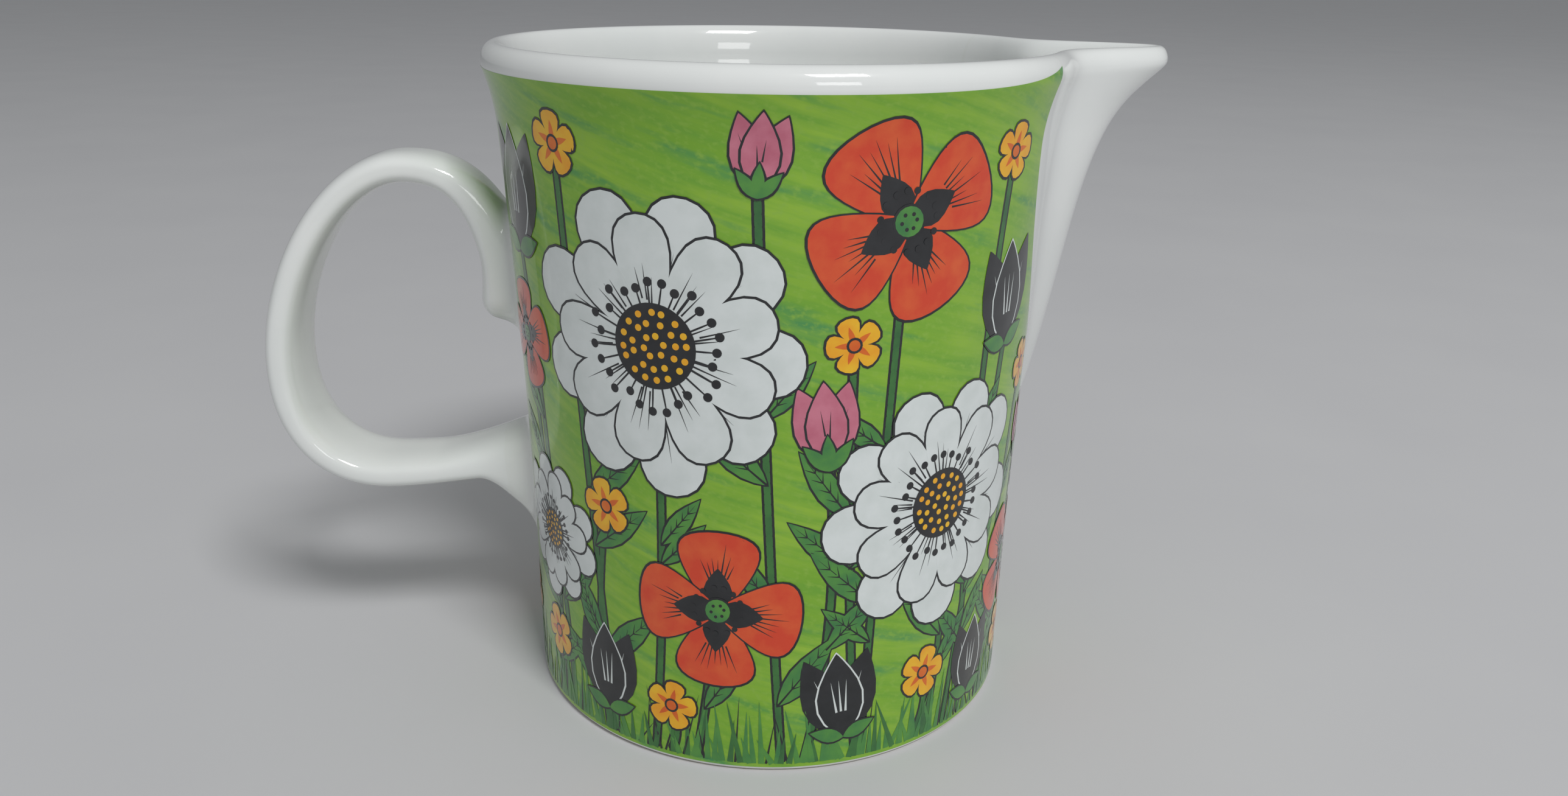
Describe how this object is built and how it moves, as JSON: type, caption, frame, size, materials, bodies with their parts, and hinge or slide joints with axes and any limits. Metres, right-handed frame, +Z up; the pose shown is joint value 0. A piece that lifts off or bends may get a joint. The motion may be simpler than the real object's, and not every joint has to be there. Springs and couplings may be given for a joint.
{
  "type": "milk jug",
  "caption": "Small bone-china milk jug: straight flared cup with a pinched beak spout, an open strap handle and a printed green flower pattern round the wall.",
  "frame": {"origin": "on the table plane, in the middle of the jug's length from handle to beak and on its middle plane", "axes": "+Z up, +X from the handle towards the beak, +Y to the left of someone looking along +X"},
  "size_m": [0.1306, 0.0822, 0.095],
  "materials": {
    "china": "white bone china under a clear glossy glaze, bare on the foot ring",
    "slip": "white slip joint, wiped smooth under the same glossy glaze",
    "print": "green printed transfer with small flowers, fired in under the glossy glaze"
  },
  "bodies": {
    "root": {"jug_body": "china", "spout": "china", "spout_seam": "slip", "handle": "china", "handle_upper_seam": "slip", "handle_lower_seam": "slip", "print_near": "print", "print_far": "print"}
  },
  "joints": []
}
